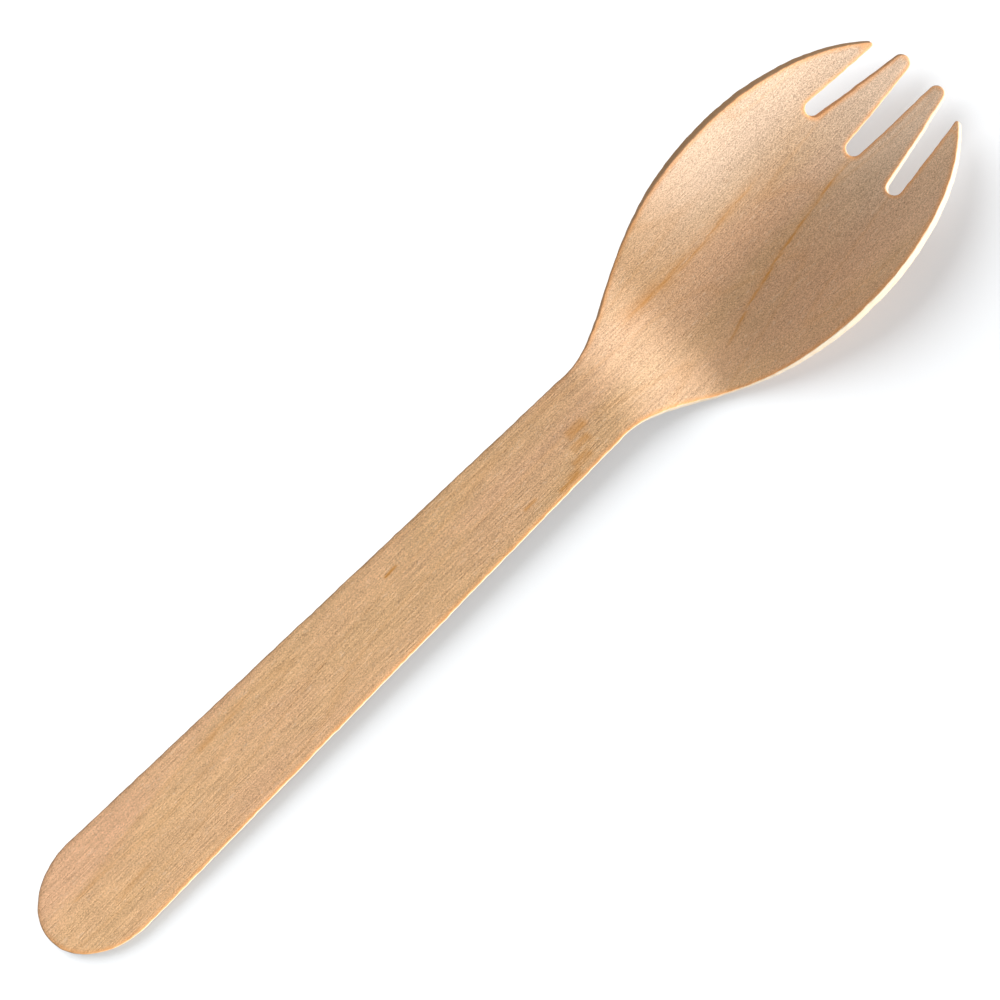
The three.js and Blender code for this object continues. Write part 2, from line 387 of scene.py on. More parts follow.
def outline(blank, at):
    """Whole outline, counter-clockwise from above: one half backwards, then its mirror image."""
    half = half_outline(blank, at)
    return np.concatenate([half[:0:-1], half[:-1] * [1, -1]])


def waver(places, seed, slowest, fastest):
    """Sum of sines with whole waves round the outline and drawn phases, about -1 to 1."""
    draw = np.random.default_rng(seed)
    counts = np.unique(np.geomspace(slowest, fastest, SINES).astype(int))
    phases = draw.uniform(0, 2 * math.pi, len(counts))
    waves = np.sin(2 * math.pi * places[:, None] * counts + phases)
    return waves.sum(1) / math.sqrt(len(counts))


def cut_edge(blank, path):
    """Edge profile carried along the outline: a quarter circle, the wall and a quarter circle.

    Each profile point has an inset from the outline and a height off the middle layer. The radius
    of the corners and the inset of the wall waver along the cut. Gives rings of (x, y, h) and
    their insets.
    """
    ahead = np.roll(path, -1, 0) - np.roll(path, 1, 0)
    ahead /= np.linalg.norm(ahead, axis=1)[:, None]
    inward = np.stack([-ahead[:, 1], ahead[:, 0]], 1)
    steps = np.linalg.norm(np.roll(path, -1, 0) - path, axis=1)
    places = (np.cumsum(steps) - steps) / steps.sum()
    swing = CORNER_SWING * waver(places, blank.seed, *CORNER_WAVES)
    radius = blank.edge_radius * (1 + swing)
    bend = np.linspace(0, QUARTER, EDGE_STEPS)[:, None]
    corner_inset = radius * (1 - np.sin(bend))
    corner_height = blank.thickness / 2 - radius * (1 - np.cos(bend))
    layers = np.linspace(1, -1, WALL_STEPS + 2)[1:-1, None]
    wall_height = layers * (blank.thickness / 2 - radius)
    draws = blank.seed + WALL_DRAW + np.arange(WALL_STEPS)
    rough = np.array([waver(places, draw, *WALL_WAVES) for draw in draws])
    wall_inset = blank.edge_waver * WALL_SHARE * (1 + rough)
    inset = np.concatenate([corner_inset, wall_inset, corner_inset[::-1]])
    inset = inset + blank.edge_waver * (1 + waver(places, blank.seed + CUT_DRAW, *CUT_WAVES))
    height = np.concatenate([corner_height, wall_height, -corner_height[::-1]])
    rings = path + inward * inset[..., None]
    return np.concatenate([rings, height[..., None]], 2), inset


def inside(points, ring):
    """Even-odd rule: a ray along +x from an inner point crosses the ring an odd number of times."""
    after = np.roll(ring, -1, 0)
    x, y = points[:, :1], points[:, 1:]
    spans = (ring[:, 1] > y) != (after[:, 1] > y)
    rise = np.where(after[:, 1] == ring[:, 1], 1, after[:, 1] - ring[:, 1])
    crossing = ring[:, 0] + (y - ring[:, 1]) / rise * (after[:, 0] - ring[:, 0])
    return (spans & (x < crossing)).sum(1) % 2 == 1


def nearest(points, path):
    """Distance from each point to the nearest point of a path."""
    away = points[:, None] - path
    return np.sqrt((away ** 2).sum(2).min(1))


def filling(blank, path, ring):
    """Points of a triangular lattice inside a ring, clear of it, and their distance to the cut."""
    step = blank.sheet_step
    low, high = ring.min(0), ring.max(0)
    columns = np.arange(low[0], high[0], step)
    rows = np.arange(low[1], high[1], step * math.sqrt(0.75))
    x, y = np.meshgrid(columns, rows)
    x = x + step / 2 * (np.arange(len(rows)) % 2)[:, None]
    lattice = np.stack([x.ravel(), y.ravel()], 1)
    parts = [lattice[first:first + CHUNK] for first in range(0, len(lattice), CHUNK)]
    clear = step * CLEARANCE
    parts = [part[inside(part, ring) & (nearest(part, ring) > clear)] for part in parts]
    points = np.concatenate(parts)
    return points, np.concatenate([nearest(part, path) for part in parts])


# The press

SLOPE_STEP = 1e-6


def smoothstep(x, low, high):
    """3 t t - 2 t t t, with t the place of x between low and high, held to 0 and 1."""
    t = np.clip((x - low) / (high - low), 0, 1)
    return t * t * (3 - 2 * t)


def smootherstep(x, low, high):
    """t t t (6 t t - 15 t + 10), with t the place of x between low and high, held to 0 and 1."""
    t = np.clip((x - low) / (high - low), 0, 1)
    return t ** 3 * (6 * t * t - 15 * t + 10)


def middle_layer(x, y, blank, press, at):
    """Height of the pressed middle layer over (x, y).

    The floor line ramps down past the neck and sweeps up to the tines. Across the sheet the height
    rises from the floor line as a parabola, whose width opens from the neck to the widest part.
    """
    ramp = smootherstep(x, at.ramp - press.ramp_blend, at.floor + press.ramp_blend)
    drop = -press.bowl_depth * ramp
    sweep = (press.bowl_depth - press.tip_drop) * smoothstep(x, at.floor, at.level)
    rise = press.side_rise * smoothstep(x, at.hollow, at.widest)
    neck, bowl = blank.neck_width / 2, blank.bowl_width / 2
    side = neck + (bowl - neck) * np.sqrt(smoothstep(x, at.neck, at.widest))
    return drop + sweep + rise * (y / side) ** 2


def pressed(points, blank, press, at):
    """Blank points (x, y, h) in the press: h along the layer's normal, then the sideways drift.

    Past the widest part the sheet follows a parabola to one side and turns with its slope.
    """
    x, y, h = points.T
    z = middle_layer(x, y, blank, press, at)
    slope_x = (middle_layer(x + SLOPE_STEP, y, blank, press, at) - z) / SLOPE_STEP
    slope_y = (middle_layer(x, y + SLOPE_STEP, blank, press, at) - z) / SLOPE_STEP
    steep = np.sqrt(1 + slope_x ** 2 + slope_y ** 2)
    x, y, z = x - h * slope_x / steep, y - h * slope_y / steep, z + h / steep
    reach = at.tip - at.widest
    past = np.maximum(0, x - at.widest) / reach
    lean = np.arctan(2 * press.tip_lean * past / reach)
    drift = press.tip_lean * past ** 2
    return np.stack([x - y * np.sin(lean), drift + y * np.cos(lean), z], 1)


def laid_down(points, press):
    """Pressed points on the table: tilted about y, centred on the CAD box and set on its bottom."""
    cos, sin = math.cos(press.rest_tilt), math.sin(press.rest_tilt)
    x, y, z = points.T
    tilted = np.stack([x * cos - z * sin, y, x * sin + z * cos], 1)
    low, high = tilted.min(0), tilted.max(0)
    cad_low, cad_high = (np.array(corner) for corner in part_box("spork"))
    move = (cad_low + cad_high) / 2 - (low + high) / 2
    move[2] = cad_low[2] - low[2]
    return tilted + move


def sheet_triangles(flat, count):
    """Delaunay triangles of flat points, counter-clockwise, inside the loop of the first ones."""
    loop = [(place, (place + 1) % count) for place in range(count)]
    spots, _, corners, sources, _, _ = delaunay_2d_cdt(
        list(map(Vector, (flat / MM).tolist())), loop, [], 1, MERGE)
    if len(spots) != len(flat):
        raise RuntimeError("the outline of the blank crosses itself")
    order = np.array([source[0] for source in sources])
    triangles = order[np.array(corners)]
    first, second, third = (flat[triangles[:, corner]] for corner in range(3))
    turned = np.cross(second - first, third - first) < 0
    triangles[turned] = triangles[turned][:, ::-1]
    return triangles


def spork_mesh(blank, press):
    """Closed mesh of the spork: the strips of the cut edge, the face and the back.

    Face and back share one set of triangles. Their outer corners are the first and the last ring of
    the cut edge. The points carry their place on the sheet and their distance from the cut.
    """
    at = stations(blank, press)
    path = outline(blank, at)
    rings, insets = cut_edge(blank, path)
    levels, count = insets.shape
    middle, gaps = filling(blank, path, rings[0, :, :2])
    triangles = sheet_triangles(np.concatenate([rings[0, :, :2], middle]), count)

    on_ring = triangles < count
    last_ring = (levels - 1) * count
    inner = triangles - count + levels * count
    face = np.where(on_ring, triangles, inner)
    back = np.where(on_ring, triangles + last_ring, inner + len(middle))
    ring = np.arange(levels - 1)[:, None] * count
    here = np.arange(count)
    ahead = (here + 1) % count
    strips = np.stack([ring + here, ring + count + here, ring + count + ahead, ring + ahead], 2)

    half = np.full((len(middle), 1), blank.thickness / 2)
    upper, lower = np.hstack([middle, half]), np.hstack([middle, -half])
    sheet = np.concatenate([rings.reshape(-1, 3), upper, lower])
    gap = np.concatenate([insets.ravel(), gaps, gaps])
    mesh = bpy.data.meshes.new("spork_veneer")
    mesh.from_pydata(
        laid_down(pressed(sheet, blank, press, at), press).tolist(), [],
        strips.reshape(-1, 4).tolist() + face.tolist() + back[:, ::-1].tolist())
    mesh.shade_smooth()
    sheet_layer = mesh.attributes.new("sheet", "FLOAT_VECTOR", "POINT")
    sheet_layer.data.foreach_set("vector", sheet.ravel())
    mesh.attributes.new("cut_gap", "FLOAT", "POINT").data.foreach_set("value", gap)
    strip_number = np.repeat(np.arange(levels - 1), count)
    on_cut = (strip_number >= FACE_STRIPS) & (strip_number < levels - 1 - FACE_STRIPS)
    material = np.zeros(len(mesh.polygons), int)
    material[:len(on_cut)] = on_cut
    mesh.polygons.foreach_set("material_index", material)
    if mesh.validate():
        raise RuntimeError("the spork's mesh has faults")
    return mesh


# The finish

# Noise of the wood: length and width of a cell in millimetres, an offset that sets each noise
# apart, detail, roughness, and a turn of the cells off the sheet's axes, which hides their rows
Cells = namedtuple(
    "Cells", "along across offset detail roughness turn", defaults=[2, 0.5, (0, 0, 0)])
SWAY_CELLS = Cells(30, 9, 0, 1)
SPECKLE_CELLS = Cells(0.2, 0.12, 3, 1, 0.5, (0.7, 0.5, 0.9))
STRAND_CELLS = Cells(4.5, 0.17, 11, 1, 0.6)
BAND_CELLS = Cells(6, 0.8, 17, 1)
PORE_CELLS = Cells(1.3, 0.2, 23, 1)
FLECK_CELLS = Cells(1.1, 0.22, 37, 1)
TONE_CELLS = Cells(38, 8, 53)
RING_CELLS = Cells(130, 16, 71, 1)
STREAK_SWAY_CELLS = Cells(7, 7, 5)
STREAK_BREAK_CELLS = Cells(4, 0.5, 9)

# Levels of a noise between which its mask rises
PORE_LEVELS = (0.62, 0.76)
FLECK_LEVELS = (0.6, 0.76)
TONE_LEVELS = (0.32, 0.68)
BREAK_LEVELS = (0.25, 0.6)
TORN_LEVELS = (0.62, 0.36)

# Grain: sideways sway, the strands' share of the fibre, growth rings, and weights of the relief
SWAY_REACH = 1.4 * MM
STRAND_SHARE = 0.8
RING_COUNT = 11
RING_WIDTH = 0.09
RING_STRENGTH = 0.12
PORE_DEPTH = 0.6
SPECKLE_HEIGHT = 0.5

# Face: share of the plain face colour, stretch of the handle's gain, stretch where the bowl's calm
# sets in, raggedness of the margin, what it loses on its plain stretch, roughness and relief
FACE_SHARE = 0.5
HANDLE_RUN = 95 * MM
BOWL_START = (100 * MM, 120 * MM)
MARGIN_RAGGED = 0.6 * MM
PLAIN_LOSS = 0.85
ROUGHNESS_SWING = 0.2
FACE_RELIEF = 0.03 * MM
WOOD_SPECULAR = 0.08

# Cut edge: coarseness of its grain, reach of the change to the painted shade of its +y side,
# darkness of torn fibres, roughness and relief
CUT_COARSENESS = 1.4
SHADED_SIDE_REACH = 3 * MM
TORN_SHARE = 0.3
CUT_ROUGHNESS = 0.7
CUT_ROUGHNESS_SWING = 0.15
CUT_RELIEF = 0.05 * MM

# Growth streaks: start, length and offset in millimetres, slope, bend per metre, width in
# millimetres and strength, then the sway and the parts of the length that fade in and out
Streak = namedtuple("Streak", "start length offset slope bend width strength")
STREAKS = [
    # Bowl
    Streak(108, 29, 5.15, 0, 1.8, 0.75, 0.3),
    Streak(109, 27, 5.15, 0, 1.8, 0.22, 0.5),
    Streak(115, 35, -7.36, 0.367, -4.74, 0.6, 0.25),
    Streak(114, 35, -7.73, 0.376, -4.74, 0.2, 0.65),
    Streak(125.5, 8, -4.04, 0.268, -4.74, 0.18, 0.8),
    Streak(107, 16, 5.3, 0, 0, 1.3, 0.25),
    # Neck
    Streak(93.4, 4, -0.5, 0, 0, 0.7, 0.7),
    Streak(92.6, 4, -2.4, 0, 0, 0.8, 0.75),
    Streak(91.4, 4, -3.8, 0, 0, 0.6, 0.6),
    Streak(87.6, 5, -4.8, 0, 0, 0.6, 0.75),
    # Handle
    Streak(82.9, 2.8, -3.4, 0, 0, 0.2, 0.9),
    Streak(63.8, 3, 3.2, 0, 0, 0.2, 0.9),
    Streak(30, 11, 3.9, 0.05, 0, 0.4, 0.45),
    Streak(45, 6, 0.7, 0, 0, 0.3, 0.2),
    Streak(9, 9, -2.6, 0.1, 0, 0.4, 0.35),
    Streak(5, 8, 1.5, 0, 0, 0.3, 0.3),
]
STREAK_SWAY = 0.9 * MM
FADE_IN = (0, 0.2)
FADE_OUT = (1, 0.75)

# Zones of the sheet with painted light and shade. Each edge is an axis and the places where the
# zone begins and is full, in millimetres. Then come the share of painted sheen, a greyer colour
# where the lamps' sheen would catch the wood, and the gain, which paints light or shade.
PaintedLightZone = namedtuple("PaintedLightZone", "edges bleach gain")
PAINTED_LIGHT_ZONES = [
    # Front of the bowl and the tines: painted sheen, and painted shade on the +y side of the front
    PaintedLightZone([("X", 130, 156), ("Y", -12, -6)], 0.95, 0),
    PaintedLightZone([("X", 130, 156)], 0.5, 0),
    PaintedLightZone([("X", 126, 142), ("Y", -4, 6)], 0, -0.14),
    # Tips of the tines: painted light
    PaintedLightZone([("X", 144, 158), ("Y", 6, -4), ("Y", -12, -7)], 0, 0.28),
    PaintedLightZone([("X", 148, 157), ("Y", -2, 2), ("Y", 9, 5)], 0, 0.12),
    # Walls of the bowl and its rim: painted shade over the bowl and the tines, painted sheen on the
    # +y wall and painted light on both rims
    PaintedLightZone([("X", 108, 118)], 0, -0.05),
    PaintedLightZone([("X", 112, 132), ("Y", 2, 12)], 0.9, 0),
    PaintedLightZone([("Y", 8, 14)], 0, 0.1),
    PaintedLightZone([("Y", -8, -14)], 0, 0.14),
    # Ramp and the fold at its foot: painted sheen on the ramp and painted light on the fold
    PaintedLightZone([("X", 99, 106), ("X", 117, 107)], 0.35, 0),
    PaintedLightZone([("X", 107, 114), ("X", 122, 115), ("Y", -1, -6)], 0, 0.14),
]
PLAIN_MARGIN = [("X", 110, 95), ("Y", -4, 6)]


class Bench:
    """Adds nodes to one tree and joins them, so that a material reads from top to bottom."""

    def __init__(self, tree):
        self.tree = tree

    def feed(self, inlet, value):
        """Joins an inlet to a socket, or sets a plain value on it."""
        if isinstance(value, bpy.types.NodeSocket):
            self.tree.links.new(value, inlet)
        else:
            inlet.default_value = value

    def node(self, kind, inlets, **settings):
        """New node with its settings made and its inlets fed."""
        node = self.tree.nodes.new(kind)
        for name, value in settings.items():
            setattr(node, name, value)
        for key, value in inlets.items():
            self.feed(node.inputs[key], value)
        return node

    def add(self, kind, inlets, outlet=0, **settings):
        """One outlet of a new node."""
        return self.node(kind, inlets, **settings).outputs[outlet]

    def math(self, operation, *values):
        """Math node on up to three values."""
        return self.add("ShaderNodeMath", dict(enumerate(values)), operation=operation)

    def times(self, *values):
        """Product of values."""
        return reduce(lambda product, value: self.math("MULTIPLY", product, value), values)

    def centred(self, noise):
        """Noise of 0 to 1, moved to lie about 0."""
        return self.math("SUBTRACT", noise, 0.5)

    def axes(self, vector):
        """The X, Y and Z of a vector."""
        return self.node("ShaderNodeSeparateXYZ", {0: vector}).outputs

    def rise(self, value, low, high):
        """Smooth step of a value from 0 at low to 1 at high."""
        return self.add(
            "ShaderNodeMapRange", {"Value": value, "From Min": low, "From Max": high},
            interpolation_type="SMOOTHSTEP")

    def noise(self, sheet, cells):
        """Noise with one cell per length along the sheet and per width across it."""
        along, across = 1 / (cells.along * MM), 1 / (cells.across * MM)
        moved = self.add("ShaderNodeMapping", {
            "Vector": sheet, "Location": (cells.offset,) * 3, "Rotation": cells.turn,
            "Scale": (along, across, across)})
        return self.add("ShaderNodeTexNoise", {
            "Vector": moved, "Scale": 1, "Detail": cells.detail, "Roughness": cells.roughness})

    def tint(self, mask, base, over, blend_type="MIX"):
        """One colour laid over another by a mask."""
        return self.add(
            "ShaderNodeMix", {0: mask, 6: base, 7: over}, outlet=2,
            data_type="RGBA", blend_type=blend_type)


def cleared(block):
    """Bench on the emptied tree of a material or a world."""
    block.use_nodes = True
    block.node_tree.nodes.clear()
    return Bench(block.node_tree)


def new_group(name, inlets, outlets):
    """Empty node group with named inlets and outlets: its bench, its inlets and its output node."""
    tree = bpy.data.node_groups.new(name, "ShaderNodeTree")
    for label, kind in inlets.items():
        tree.interface.new_socket(name=label, in_out="INPUT", socket_type=kind)
    for label in outlets:
        tree.interface.new_socket(name=label, in_out="OUTPUT", socket_type="NodeSocketFloat")
    entry = tree.nodes.new("NodeGroupInput")
    return Bench(tree), entry.outputs, tree.nodes.new("NodeGroupOutput")


def put_out(bench, exit_node, **values):
    """Joins values to the outlets of a group, by name."""
    for label, value in values.items():
        bench.feed(exit_node.inputs[label], value)


def placed(bench, group, **inlets):
    """Outlets of a group that is placed in a material, with its inlets by name."""
    return bench.node("ShaderNodeGroup", inlets, node_tree=group).outputs


def veneer_grain():
    """Grain of birch veneer: noise drawn out along the sheet, on coordinates that waver across it.

    Speckle is short noise and Fibre long noise, Pores and Flecks are rare dark and pale dashes,
    Tone is the broad change of colour, Ring is a thin line at each level of a slow noise, and
    Height sums the relief.
    """
    bench, inlet, exit_node = new_group(
        "veneer_grain", {"Sheet": "NodeSocketVector", "Coarseness": "NodeSocketFloat"},
        ["Speckle", "Fibre", "Pores", "Flecks", "Tone", "Ring", "Height"])
    fine = bench.math("DIVIDE", 1, inlet["Coarseness"])
    sheet = bench.add(
        "ShaderNodeVectorMath", {0: inlet["Sheet"], "Scale": fine}, operation="SCALE")
    sway = bench.times(bench.centred(bench.noise(sheet, SWAY_CELLS)), SWAY_REACH)
    shift = bench.add("ShaderNodeCombineXYZ", {"Y": sway})
    sheet = bench.add("ShaderNodeVectorMath", {0: sheet, 1: shift}, operation="ADD")
    speckle = bench.noise(sheet, SPECKLE_CELLS)
    strand = bench.noise(sheet, STRAND_CELLS)
    band = bench.times(bench.noise(sheet, BAND_CELLS), 1 - STRAND_SHARE)
    fibre = bench.math("MULTIPLY_ADD", strand, STRAND_SHARE, band)
    pores = bench.rise(bench.noise(sheet, PORE_CELLS), *PORE_LEVELS)
    flecks = bench.rise(bench.noise(sheet, FLECK_CELLS), *FLECK_LEVELS)
    tone = bench.rise(bench.noise(sheet, TONE_CELLS), *TONE_LEVELS)
    level = bench.times(bench.noise(sheet, RING_CELLS), RING_COUNT)
    ring = bench.rise(bench.math("PINGPONG", level, 0.5), RING_WIDTH, 0)
    dented = bench.math("MULTIPLY_ADD", pores, -PORE_DEPTH, fibre)
    relief = bench.math("MULTIPLY_ADD", speckle, SPECKLE_HEIGHT, dented)
    put_out(
        bench, exit_node, Speckle=speckle, Fibre=fibre, Pores=pores, Flecks=flecks, Tone=tone,
        Ring=ring, Height=relief)
    return bench.tree


def growth_streak():
    """Mask of one streak: a bell across the sheet about y = offset + slope u + bend u u.

    u is x - start. The streak fades in over the first and out over the last part of its length,
    wavers a little and breaks up along its fibres.
    """
    labels = ["Start", "Length", "Offset", "Slope", "Bend", "Width"]
    inlets = {"Sheet": "NodeSocketVector", **{label: "NodeSocketFloat" for label in labels}}
    bench, inlet, exit_node = new_group("growth_streak", inlets, ["Mask"])
    sheet = inlet["Sheet"]
    place = bench.axes(sheet)
    u = bench.math("SUBTRACT", place["X"], inlet["Start"])
    climb = bench.math("MULTIPLY_ADD", inlet["Bend"], u, inlet["Slope"])
    middle = bench.math("MULTIPLY_ADD", climb, u, inlet["Offset"])
    sway = bench.centred(bench.noise(sheet, STREAK_SWAY_CELLS))
    middle = bench.math("MULTIPLY_ADD", sway, STREAK_SWAY, middle)
    across = bench.math("DIVIDE", bench.math("SUBTRACT", place["Y"], middle), inlet["Width"])
    bell = bench.math("POWER", math.e, bench.times(across, across, -1))
    along = bench.math("DIVIDE", u, inlet["Length"])
    ends = bench.times(bench.rise(along, *FADE_IN), bench.rise(along, *FADE_OUT))
    broken = bench.rise(bench.noise(sheet, STREAK_BREAK_CELLS), *BREAK_LEVELS)
    put_out(bench, exit_node, Mask=bench.times(bell, ends, broken))
    return bench.tree


def opaque(rgb):
    """Colour of a property with full cover."""
    return (*rgb, 1)


def new_material(name):
    """Material with an empty tree: the material, its bench and its sheet coordinates."""
    material = bpy.data.materials.new(name)
    bench = cleared(material)
    sheet = bench.add("ShaderNodeAttribute", {}, outlet="Vector", attribute_name="sheet")
    return material, bench, sheet


def wood_surface(bench, base, roughness, height, bump):
    """Principled surface of bare wood, with the grain's relief as its bump."""
    normal = bench.add(
        "ShaderNodeBump", {"Strength": 1, "Distance": bump, "Height": height})
    surface = bench.add("ShaderNodeBsdfPrincipled", {
        "Base Color": base, "Roughness": roughness, "Normal": normal,
        "Specular IOR Level": WOOD_SPECULAR})
    bench.node("ShaderNodeOutputMaterial", {"Surface": surface})


def zone_mask(bench, place, edges):
    """Product of the smooth steps across a zone's edges."""
    steps = [bench.rise(place[axis], low * MM, high * MM) for axis, low, high in edges]
    return bench.times(*steps)


def ground_with_painted_light(bench, finish, wood, place):
    """Ground colour, from straw to rosy and greyed by the painted sheen of its zones, and its
    brightness with their painted light and shade.
    """
    base = bench.tint(wood["Tone"], opaque(finish.straw_colour), opaque(finish.rosy_colour))
    base = bench.tint(FACE_SHARE, base, opaque(finish.face_colour))
    gain = bench.add("ShaderNodeMapRange", {
        "Value": place["X"], "From Min": 0, "From Max": HANDLE_RUN,
        "To Min": finish.end_gain, "To Max": finish.neck_gain})
    bleach = 0
    # Each zone lays painted sheen over the wood and adds painted light or shade to the gain
    for zone in PAINTED_LIGHT_ZONES:
        mask = zone_mask(bench, place, zone.edges)
        bleach = bench.math("MAXIMUM", bleach, bench.times(mask, zone.bleach))
        gain = bench.math("MULTIPLY_ADD", mask, zone.gain, gain)
    return bench.tint(bleach, base, opaque(finish.painted_sheen_colour)), gain


def grained(bench, finish, wood, place, base, gain):
    """Base colour times the sum of its brightness, painted light and shade included, and the swings
    of speckle and fibres.
    """
    calm = bench.times(bench.rise(place["X"], *BOWL_START), finish.bowl_calm)
    contrast = bench.times(bench.math("SUBTRACT", 1, calm), finish.fibre_contrast)
    spots = bench.math(
        "MULTIPLY_ADD", bench.centred(wood["Speckle"]), finish.speckle_contrast, gain)
    swing = bench.math("MULTIPLY_ADD", bench.centred(wood["Fibre"]), contrast, spots)
    shade = bench.add("ShaderNodeCombineColor", {"Red": swing, "Green": swing, "Blue": swing})
    return bench.tint(1, base, shade, "MULTIPLY")


def margin_mask(bench, finish, wood, place):
    """Burnished band beside the cut, ragged with the fibres and weaker on its plain stretch."""
    gap = bench.add("ShaderNodeAttribute", {}, outlet="Fac", attribute_name="cut_gap")
    ragged = bench.math("MULTIPLY_ADD", bench.centred(wood["Fibre"]), MARGIN_RAGGED, gap)
    band = bench.times(bench.rise(ragged, finish.margin_width, 0), finish.margin_strength)
    plain = zone_mask(bench, place, PLAIN_MARGIN)
    return bench.times(band, bench.math("MULTIPLY_ADD", plain, -PLAIN_LOSS, 1))


def face_material(finish, grain, streak):
    """Planed face: ground with painted sheen, light and shade, fibres, pores, flecks, growth
    streaks and the burnished margin.
    """
    material, bench, sheet = new_material("birch_face")
    wood = placed(bench, grain, Sheet=sheet, Coarseness=1)
    place = bench.axes(sheet)
    ground, gain = ground_with_painted_light(bench, finish, wood, place)
    base = grained(bench, finish, wood, place, ground, gain)
    layers = [
        (wood["Pores"], finish.pore_strength, finish.pore_colour),
        (wood["Flecks"], finish.fleck_strength, finish.pale_colour),
        (wood["Ring"], RING_STRENGTH, finish.streak_colour),
    ]
    for row in STREAKS:
        mask = placed(
            bench, streak, Sheet=sheet, Start=row.start * MM, Length=row.length * MM,
            Offset=row.offset * MM, Slope=row.slope, Bend=row.bend, Width=row.width * MM)["Mask"]
        layers.append((mask, row.strength, finish.streak_colour))
    for mask, strength, layer_colour in layers:
        base = bench.tint(bench.times(mask, strength), base, opaque(layer_colour))
    base = bench.tint(margin_mask(bench, finish, wood, place), base, opaque(finish.margin_colour))
    roughness = bench.math(
        "MULTIPLY_ADD", bench.centred(wood["Fibre"]), ROUGHNESS_SWING, finish.roughness)
    wood_surface(bench, base, roughness, wood["Height"], FACE_RELIEF)
    return material


def cut_material(finish, grain):
    """Raw cut edge, with painted shade on its +y side, away from the low lamp, and fibres torn
    along the cut.
    """
    material, bench, sheet = new_material("birch_cut_edge")
    wood = placed(bench, grain, Sheet=sheet, Coarseness=CUT_COARSENESS)
    shaded_side = bench.rise(bench.axes(sheet)["Y"], -SHADED_SIDE_REACH, SHADED_SIDE_REACH)
    torn = bench.rise(wood["Fibre"], *TORN_LEVELS)
    # The dark mask joins the painted shade of the +y side with the real darkness of torn fibres
    dark = bench.math("MAXIMUM", shaded_side, bench.times(torn, TORN_SHARE))
    base = bench.tint(dark, opaque(finish.cut_colour), opaque(finish.cut_shaded_colour))
    roughness = bench.math("MULTIPLY_ADD", wood["Fibre"], CUT_ROUGHNESS_SWING, CUT_ROUGHNESS)
    wood_surface(bench, base, roughness, wood["Height"], CUT_RELIEF)
    return material


# The studio

WHITE = (1, 1, 1, 1)
LAMP_SPREAD = 0.1
SENSOR_WIDTH = 36
CLIP_START = 0.01
CLIP_END = 100


def bearing(compass, height):
    """Unit vector towards a lamp at a compass turn from +X and a height above the floor."""
    flat = math.cos(height)
    return Vector((flat * math.cos(compass), flat * math.sin(compass), math.sin(height)))


def sun(name, towards, level, spread=LAMP_SPREAD, shadow=True):
    """Distant lamp that gives a level surface the light level asked for."""
    lamp = bpy.data.lights.new(name, "SUN")
    lamp.energy = level * math.pi / towards.z
    lamp.angle = spread
    lamp.use_shadow = shadow
    lamp_object = bpy.data.objects.new(name, lamp)
    lamp_object.rotation_mode = "QUATERNION"
    lamp_object.rotation_quaternion = towards.to_track_quat("Z", "Y")
    lamp_object.location = towards
    bpy.context.scene.collection.objects.link(lamp_object)
    return lamp_object


def white_to_camera(bench):
    """1 for rays that show the background to the camera, directly, by gloss or through glass."""
    rays = bench.tree.nodes.new("ShaderNodeLightPath").outputs
    seen = bench.math("MAXIMUM", rays["Is Camera Ray"], rays["Is Glossy Ray"])
    return bench.math("MAXIMUM", seen, rays["Is Transmission Ray"])


def sky(level):
    """Even light from all round, white where the camera sees it."""
    world = bpy.data.worlds.new("studio_sky")
    bpy.context.scene.world = world
    bench = cleared(world)
    strength = bench.add(
        "ShaderNodeMapRange", {"Value": white_to_camera(bench), "To Min": level, "To Max": 1})
    light = bench.add("ShaderNodeBackground", {"Color": WHITE, "Strength": strength})
    bench.node("ShaderNodeOutputWorld", {"Surface": light})


def floor(studio):
    """Level square under the spork: white to the camera, grey to the wood, for a low bounce."""
    side = studio.floor_size / 2
    corners = np.array([[-1, -1, 0], [1, -1, 0], [1, 1, 0], [-1, 1, 0]]) * side
    mesh = bpy.data.meshes.new("studio_floor")
    mesh.from_pydata(corners.tolist(), [], [(0, 1, 2, 3)])
    material = bpy.data.materials.new("white_floor")
    bench = cleared(material)
    grey = opaque((studio.floor_bounce,) * 3)
    paint = bench.tint(white_to_camera(bench), grey, opaque(studio.floor_colour))
    surface = bench.add("ShaderNodeBsdfDiffuse", {"Color": paint})
    bench.node("ShaderNodeOutputMaterial", {"Surface": surface})
    mesh.materials.append(material)
    ground = bpy.data.objects.new("studio_floor", mesh)
    bpy.context.scene.collection.objects.link(ground)
    return ground


def camera(studio):
    """Long lens almost straight above, rolled so that the spork lies along the diagonal."""
    back = Vector((0, -math.sin(studio.camera_lean), math.cos(studio.camera_lean)))
    right = Vector((math.cos(studio.camera_roll), -math.sin(studio.camera_roll), 0))
    up = back.cross(right).normalized()
    right = up.cross(back)
    lens = bpy.data.cameras.new("photo_camera")
    lens.sensor_width = SENSOR_WIDTH
    lens.lens = lens.sensor_width * studio.camera_distance / studio.view_width
    lens.clip_start, lens.clip_end = CLIP_START, CLIP_END
    eye = bpy.data.objects.new("photo_camera", lens)
    turned = Matrix((right, up, back)).transposed().to_4x4()
    place = Vector(studio.aim) + back * studio.camera_distance
    eye.matrix_world = Matrix.Translation(place) @ turned
    bpy.context.scene.collection.objects.link(eye)
    bpy.context.scene.camera = eye


# Operators and panel

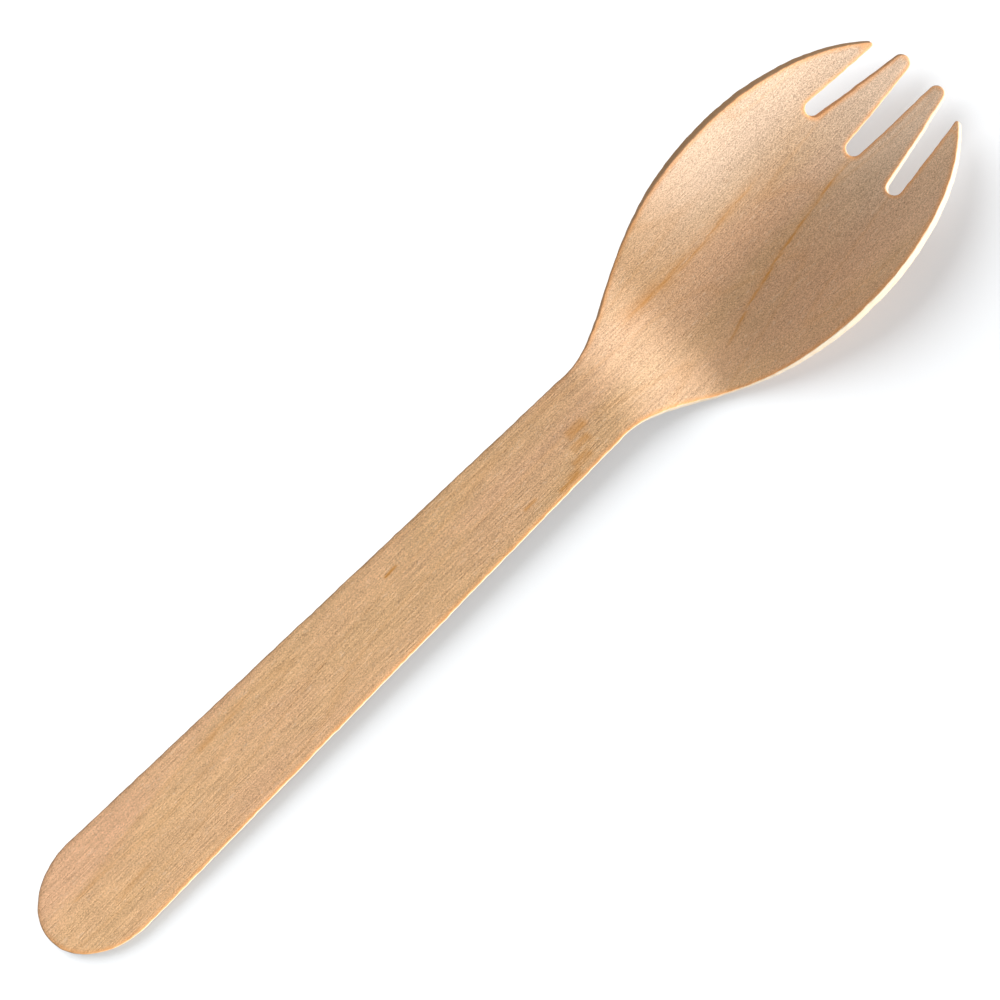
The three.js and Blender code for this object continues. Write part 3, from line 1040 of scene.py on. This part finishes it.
class SPORK_OT_press(Operator):
    """Press the spork from its blank and give it its birch finish"""

    bl_idname = "spork.press"
    bl_label = "Press the spork"

    def execute(self, context):
        scene = context.scene
        mesh = spork_mesh(scene.spork_blank, scene.spork_press)
        grain = veneer_grain()
        mesh.materials.append(face_material(scene.spork_finish, grain, growth_streak()))
        mesh.materials.append(cut_material(scene.spork_finish, grain))
        piece = bpy.data.objects.new("spork_veneer", mesh)
        scene.collection.objects.link(piece)
        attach(piece, "root")
        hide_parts("spork")
        return {"FINISHED"}


class SPORK_OT_studio(Operator):
    """Set the white floor, the lamps and the camera"""

    bl_idname = "spork.studio"
    bl_label = "Set the studio"

    def execute(self, context):
        studio = context.scene.spork_studio
        sky(studio.sky_level)
        ground = bpy.data.collections.new("floor_only")
        ground.objects.link(floor(studio))
        key = bearing(studio.key_bearing, studio.key_height)
        fill = bearing(studio.fill_bearing, studio.fill_height)
        soft = bearing(studio.soft_bearing, studio.soft_height)
        sun("low_lamp", key, studio.key_level, shadow=False)
        sun("high_lamp", fill, studio.fill_level, shadow=False)
        lamp = sun("soft_lamp", soft, studio.soft_level, studio.soft_spread)
        lamp.light_linking.receiver_collection = ground
        camera(studio)
        context.scene.view_settings.view_transform = "Standard"
        return {"FINISHED"}


class SPORK_PT_panel(Panel):
    """Sizes and colours of the spork and its studio"""

    bl_idname = "SPORK_PT_panel"
    bl_label = "Pressed wooden spork"
    bl_space_type = "VIEW_3D"
    bl_region_type = "UI"
    bl_category = "Spork"

    def draw(self, context):
        scene = context.scene
        groups = [scene.spork_blank, scene.spork_press, scene.spork_finish, scene.spork_studio]
        for group in groups:
            column = self.layout.column(align=True)
            for name in group.__annotations__:
                column.prop(group, name)
        self.layout.operator(SPORK_OT_press.bl_idname)
        self.layout.operator(SPORK_OT_studio.bl_idname)


GROUPS = {
    "spork_blank": BlankSettings,
    "spork_press": PressSettings,
    "spork_finish": FinishSettings,
    "spork_studio": StudioSettings,
}
CLASSES = [*GROUPS.values(), SPORK_OT_press, SPORK_OT_studio, SPORK_PT_panel]


def register():
    """Registers the classes and hangs the settings on the scene."""
    for kind in CLASSES:
        bpy.utils.register_class(kind)
    for name, kind in GROUPS.items():
        setattr(bpy.types.Scene, name, PointerProperty(type=kind))


def unregister():
    """Takes the settings and the classes away again."""
    for name in GROUPS:
        delattr(bpy.types.Scene, name)
    for kind in reversed(CLASSES):
        bpy.utils.unregister_class(kind)


def main():
    """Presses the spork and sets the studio."""
    register()
    bpy.ops.spork.press()
    bpy.ops.spork.studio()


if __name__ == "__main__":
    main()
